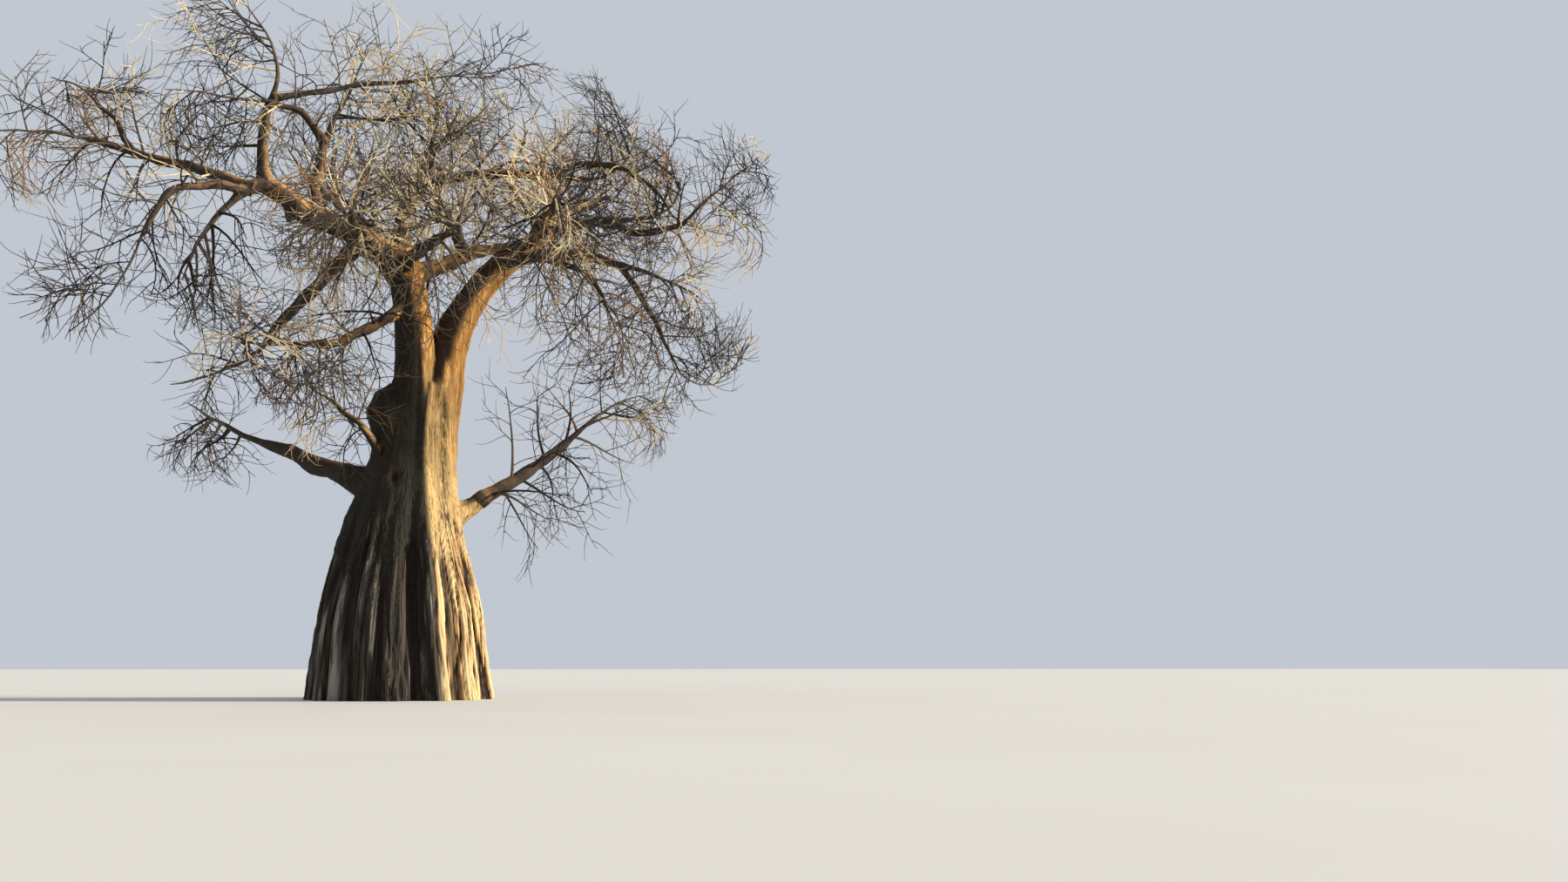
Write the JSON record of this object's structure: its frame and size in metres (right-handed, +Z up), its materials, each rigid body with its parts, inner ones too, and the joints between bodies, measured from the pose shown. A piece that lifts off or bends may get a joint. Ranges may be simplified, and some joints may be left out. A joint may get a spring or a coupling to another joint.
{
  "type": "baobab tree",
  "caption": "Leafless baobab tree: a fluted trunk that flares to the ground and forks into leaning stems, under a broad crown of arching boughs and bare curved twigs.",
  "frame": {"origin": "middle of the flat cut under the trunk, at ground level", "axes": "+Z up; +X towards the right of the picture, along the widest spread of the crown; +Y away from the camera"},
  "size_m": [22.9587, 17.4035, 22.2078],
  "materials": {
    "trunk_bark": "rough fibrous bark, grey in the shade and straw to orange where it is worn",
    "bough_bark": "smoother matt bark with orange-tan and copper patches",
    "twig_bark": "matt grey-brown bark"
  },
  "bodies": {
    "root": {"trunk": "trunk_bark", "stem_left": "trunk_bark", "stem_right": "trunk_bark", "bough_left_inner": "bough_bark", "bough_left_elbow": "bough_bark", "bough_left_long": "bough_bark", "bough_left_rise": "bough_bark", "bough_left_riser": "bough_bark", "bough_top_long": "bough_bark", "bough_left_upright": "bough_bark", "bough_left_arch": "bough_bark", "bough_left_drop": "bough_bark", "bough_left_diagonal": "bough_bark", "bough_left_hanging": "bough_bark", "bough_left_low": "bough_bark", "bough_left_small": "bough_bark", "bough_right_low": "bough_bark", "bough_centre_riser": "bough_bark", "bough_centre_arch": "bough_bark", "bough_right_high": "bough_bark", "bough_right_mid": "bough_bark", "bough_right_hook": "bough_bark", "bough_right_lower": "bough_bark", "bough_right_droop": "bough_bark", "bough_right_hang": "bough_bark", "bough_cross": "bough_bark", "bough_front": "bough_bark", "bough_back_left": "bough_bark", "bough_back_right": "bough_bark", "bough_front_right": "bough_bark", "bough_front_left": "bough_bark", "bough_back_mid": "bough_bark", "twigs_left_tip": "twig_bark", "twigs_left_rise": "twig_bark", "twigs_left_elbow": "twig_bark", "twigs_left_riser": "twig_bark", "twigs_top": "twig_bark", "twigs_left_upright": "twig_bark", "twigs_left_arch": "twig_bark", "twigs_left_drop": "twig_bark", "twigs_left_diagonal": "twig_bark", "twigs_left_hanging": "twig_bark", "twigs_left_low": "twig_bark", "twigs_left_small": "twig_bark", "twigs_right_low": "twig_bark", "twigs_centre_riser": "twig_bark", "twigs_centre_arch": "twig_bark", "twigs_right_high": "twig_bark", "twigs_right_mid": "twig_bark", "twigs_right_hook": "twig_bark", "twigs_right_lower": "twig_bark", "twigs_right_droop": "twig_bark", "twigs_right_hang": "twig_bark", "twigs_cross": "twig_bark", "twigs_front": "twig_bark", "twigs_back_left": "twig_bark", "twigs_back_right": "twig_bark", "twigs_front_right": "twig_bark", "twigs_front_left": "twig_bark", "twigs_back_mid": "twig_bark"}
  },
  "joints": []
}
